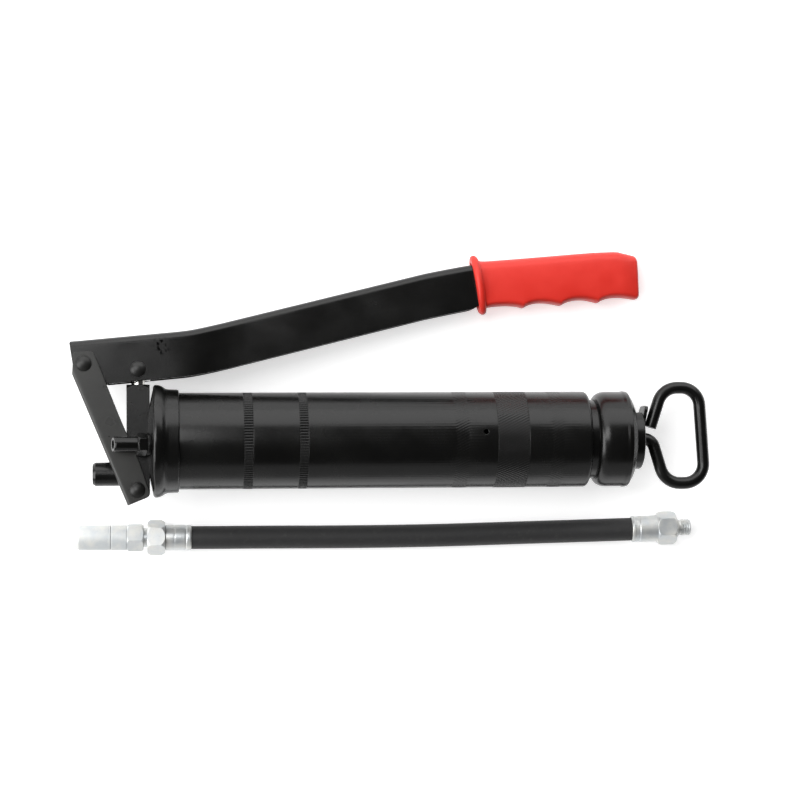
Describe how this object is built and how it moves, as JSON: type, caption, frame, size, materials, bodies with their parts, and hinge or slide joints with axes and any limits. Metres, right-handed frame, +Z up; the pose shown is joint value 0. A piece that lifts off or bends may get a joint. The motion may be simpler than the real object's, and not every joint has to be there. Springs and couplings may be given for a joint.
{
  "type": "grease gun",
  "caption": "Hand lever grease gun with a steel barrel, riveted lever pump, red vinyl grip, D-shaped pull rod handle and a rubber delivery hose lying beside it.",
  "frame": {"origin": "on the floor, under the centre of the box around the gun without its hose", "axes": "+X along the gun from the pump head to the pull handle, +Y towards the hand lever, +Z up out of the floor the gun lies on"},
  "size_m": [0.3783, 0.1819, 0.0658],
  "materials": {
    "black_paint": "gloss black stoving paint",
    "black_rivet": "black painted rivet steel",
    "polished_steel": "ground and polished",
    "dark_steel": "black painted round bar",
    "spring_steel": "oiled spring wire",
    "valve_steel": "black painted steel",
    "red_vinyl": "dip moulded soft vinyl",
    "seal_rubber": "matt nitrile rubber",
    "hose_rubber": "smooth cloth-wrapped rubber",
    "zinc_plate": "bright zinc plate"
  },
  "bodies": {
    "head": {"pump_body": "black_paint", "plunger_seal": "seal_rubber", "outlet_fitting": "black_paint", "check_retainer": "dark_steel", "check_spring": "spring_steel", "head_cap": "black_paint", "head_gasket": "seal_rubber", "valve_washer": "valve_steel", "valve_body": "valve_steel", "valve_spring": "spring_steel"},
    "check_ball": {"check_ball": "polished_steel"},
    "valve_pin": {"valve_pin": "valve_steel"},
    "plunger": {"plunger": "polished_steel"},
    "link": {"link_channel": "black_paint", "link_top_rivet": "black_rivet", "link_bottom_rivet": "black_rivet"},
    "lever": {"lever_arm": "black_paint", "plunger_pin": "black_rivet", "grip": "red_vinyl"},
    "barrel": {"barrel_tube": "black_paint", "end_cap": "black_paint", "rod_guide": "black_paint", "lock_spring": "spring_steel", "follower_spring": "spring_steel"},
    "lock": {"lock_plate": "dark_steel"},
    "follower": {"follower_cup": "seal_rubber", "follower_washer": "dark_steel", "follower_plate": "dark_steel"},
    "pull_rod": {"pull_rod": "dark_steel", "rod_nut": "dark_steel", "rod_collar": "dark_steel"},
    "hose": {"hose_rubber": "hose_rubber", "hose_ferrule_front": "zinc_plate", "hose_ferrule_rear": "zinc_plate", "hose_stem_front": "zinc_plate", "hose_stem_rear": "zinc_plate", "coupler_body": "zinc_plate", "coupler_seal": "seal_rubber", "coupler_spring": "spring_steel"},
    "coupler_nose": {"coupler_sleeve": "zinc_plate", "coupler_jaws": "zinc_plate"}
  },
  "joints": [
    {"name": "link_swing", "type": "hinge", "parent": "head", "child": "link", "pos_m": [-0.14978, -0.06325, 0.03871], "axis": [0.0156, 0.1972, 0.9802], "range_deg": [-5.5, 0.3]},
    {"name": "lever_swing", "type": "hinge", "parent": "link", "child": "lever", "pos_m": [-0.1806, 0.00841, 0.02479], "axis": [0.0156, 0.1972, 0.9802], "range_deg": [0, 55]},
    {"name": "plunger_stroke", "type": "slide", "parent": "head", "child": "plunger", "axis": [-0.0031, 0.9804, -0.1971], "range_m": [-0.0002, 0.0284]},
    {"name": "barrel_unscrew", "type": "hinge", "parent": "head", "child": "barrel", "pos_m": [-0.13737, -0.03541, 0.03291], "axis": [0.9999, 0, -0.0159], "continuous": true},
    {"name": "follower_slide", "type": "slide", "parent": "barrel", "child": "follower", "axis": [0.9999, 0, -0.0159], "range_m": [0, 0.2], "stiffness_N_per_m": 250, "springref_m": -0.15, "deforming": ["follower_spring"]},
    {"name": "handle_turn", "type": "hinge", "parent": "follower", "child": "pull_rod", "pos_m": [0.14749, -0.03541, 0.02837], "axis": [0.9999, 0, -0.0159], "continuous": true},
    {"name": "lock_tilt", "type": "hinge", "parent": "barrel", "child": "lock", "pos_m": [0.14481, -0.0412, 0.02958], "axis": [0.0156, 0.1972, 0.9802], "range_deg": [0, 5.5], "stiffness_Nm_per_rad": 0.5, "springref_deg": -11.46, "deforming": ["lock_spring"]},
    {"name": "check_ball_lift", "type": "slide", "parent": "head", "child": "check_ball", "axis": [-0.9999, 0, 0.0159], "range_m": [0, 0.0012], "stiffness_N_per_m": 200, "springref_m": -0.002, "deforming": ["check_spring"]},
    {"name": "valve_pin_push", "type": "slide", "parent": "head", "child": "valve_pin", "axis": [0.9568, -0.0543, -0.2855], "range_m": [0, 0.0015], "stiffness_N_per_m": 400, "springref_m": -0.002, "deforming": ["valve_spring"]},
    {"name": "hose_lift_off", "type": "slide", "parent": "head", "child": "hose", "axis": [0, 0, 1], "range_m": [0, 0.12]},
    {"name": "coupler_turn", "type": "hinge", "parent": "hose", "child": "coupler_nose", "pos_m": [-0.1185, -0.0977, 0.01019], "axis": [1, -0.0062, -0.0027], "continuous": true}
  ],
  "couplings": [
    {"joint": "link_swing", "follows": "lever_swing", "ratio": -0.095},
    {"joint": "plunger_stroke", "follows": "lever_swing", "m_per_rad": 0.0292}
  ]
}
